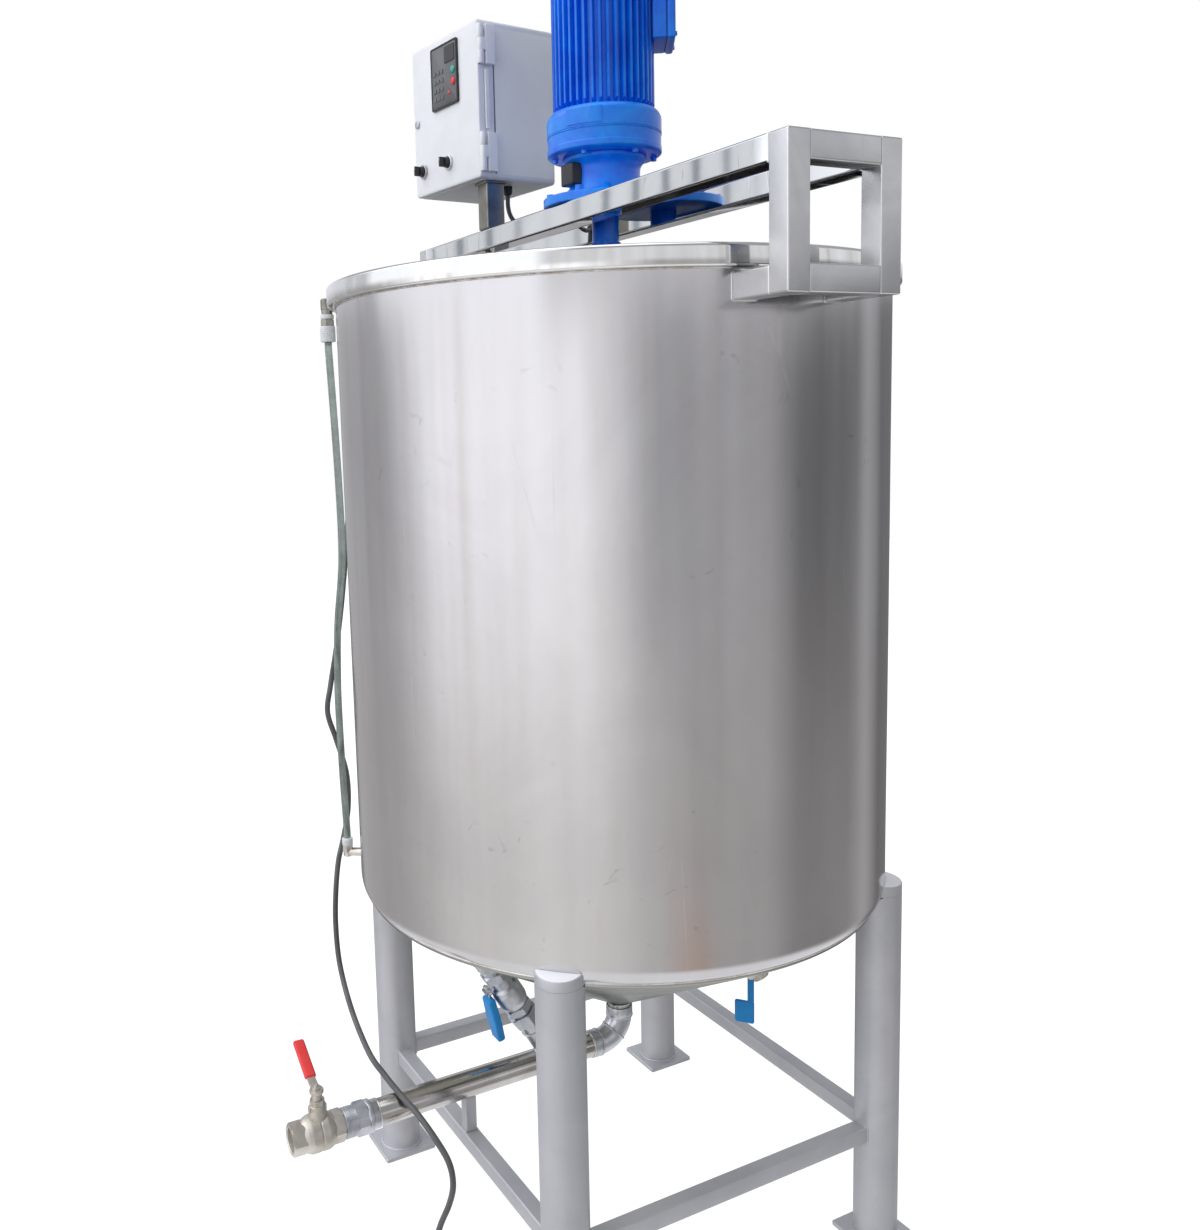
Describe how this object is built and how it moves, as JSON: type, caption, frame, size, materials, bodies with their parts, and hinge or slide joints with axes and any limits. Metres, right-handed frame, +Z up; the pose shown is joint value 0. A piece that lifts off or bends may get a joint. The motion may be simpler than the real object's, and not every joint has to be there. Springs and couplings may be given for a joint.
{
  "type": "chemical mixing tank",
  "caption": "Upright stainless steel mixing tank with a cone bottom on pipe legs, a bridge-mounted geared agitator, a control box and a valved bottom drain.",
  "frame": {"origin": "centre of the footprint at floor level, between the rim on the right and the drain valve's mouth on the left; the vessel's axis stands 85.5 mm towards +X", "axes": "+Z up, +Y along the bridge away from the viewer, -X along the drain pipe"},
  "size_m": [1.201, 1.214, 2.468],
  "materials": {
    "brushed_stainless": "satin rolled stainless sheet",
    "polished_stainless": "polished stainless tube and bar",
    "pickled_stainless": "dull pickled stainless tube",
    "cast_stainless": "cast stainless fittings with heat tint",
    "blue_paint": "glossy blue paint",
    "red_grip": "red dipped vinyl sleeve",
    "blue_grip": "blue dipped vinyl sleeve",
    "box_grey": "light grey moulded plastic",
    "black_plastic": "black moulded plastic",
    "clear_hose": "clear flexible hose",
    "cable_jacket": "dark grey cable jacket"
  },
  "bodies": {
    "tank": {"tank_wall_front": "brushed_stainless", "tank_wall_right": "brushed_stainless", "tank_wall_back": "brushed_stainless", "tank_wall_left": "brushed_stainless", "tank_cone": "brushed_stainless", "tank_rim": "polished_stainless", "bridge_beam_left": "polished_stainless", "bridge_beam_right": "polished_stainless", "bridge_frame_front": "polished_stainless", "bridge_frame_back": "polished_stainless", "box_post": "polished_stainless", "drain_pipe": "polished_stainless", "leg_front_left": "pickled_stainless", "leg_front_right": "pickled_stainless", "leg_back_left": "pickled_stainless", "leg_back_right": "pickled_stainless", "brace_front": "pickled_stainless", "brace_back": "pickled_stainless", "brace_left": "pickled_stainless", "brace_right": "pickled_stainless", "pipe_prop": "pickled_stainless", "outlet_bend": "cast_stainless", "drain_union": "cast_stainless", "drain_valve": "cast_stainless", "branch_valve": "cast_stainless", "sample_valve": "cast_stainless", "gauge_fitting_upper": "cast_stainless", "gauge_fitting_lower": "cast_stainless", "drive_mount": "blue_paint", "gearbox": "blue_paint", "motor": "blue_paint", "terminal_box": "blue_paint", "fan_cover": "blue_paint", "control_box": "box_grey", "cord_gland": "black_plastic", "motor_cable_gland": "black_plastic", "supply_plug": "black_plastic", "gauge_hose": "clear_hose", "supply_cord": "cable_jacket", "supply_cord_coil": "cable_jacket", "motor_cable": "cable_jacket"},
    "agitator": {"agitator_shaft": "polished_stainless", "agitator_impeller": "brushed_stainless"},
    "drain_handle": {"drain_lever": "red_grip"},
    "branch_handle": {"branch_lever": "blue_grip"},
    "sample_handle": {"sample_lever": "blue_grip"},
    "box_door": {"control_box_door": "box_grey", "operator_panel": "black_plastic"},
    "knob_left": {"selector_knob_left": "black_plastic"},
    "knob_right": {"selector_knob_right": "black_plastic"}
  },
  "joints": [
    {"name": "agitator_spin", "type": "hinge", "parent": "tank", "child": "agitator", "pos_m": [0.0855, 0, 1.3], "axis": [0, 0, 1], "continuous": true},
    {"name": "drain_valve_turn", "type": "hinge", "parent": "tank", "child": "drain_handle", "pos_m": [-0.5485, 0, 0.398], "axis": [0, 0, 1], "range_deg": [0, 90]},
    {"name": "branch_valve_turn", "type": "hinge", "parent": "tank", "child": "branch_handle", "pos_m": [-0.20436, 0, 0.49823], "axis": [-0.858, 0, -0.5137], "range_deg": [0, 90]},
    {"name": "sample_valve_turn", "type": "hinge", "parent": "tank", "child": "sample_handle", "pos_m": [0.23042, -0.22917, 0.51818], "axis": [-0.7809, -0.6247, 0], "range_deg": [0, 90]},
    {"name": "control_box_door_swing", "type": "hinge", "parent": "tank", "child": "box_door", "pos_m": [-0.0373, 0.242, 2.182], "axis": [0, 0, 1], "range_deg": [0, 110]},
    {"name": "selector_left_turn", "type": "hinge", "parent": "box_door", "child": "knob_left", "pos_m": [-0.06691, 0.4606, 2.082], "axis": [-0.9945, -0.1045, 0], "range_deg": [-45, 45]},
    {"name": "selector_right_turn", "type": "hinge", "parent": "box_door", "child": "knob_right", "pos_m": [-0.05635, 0.36015, 2.082], "axis": [-0.9945, -0.1045, 0], "range_deg": [-45, 45]}
  ]
}
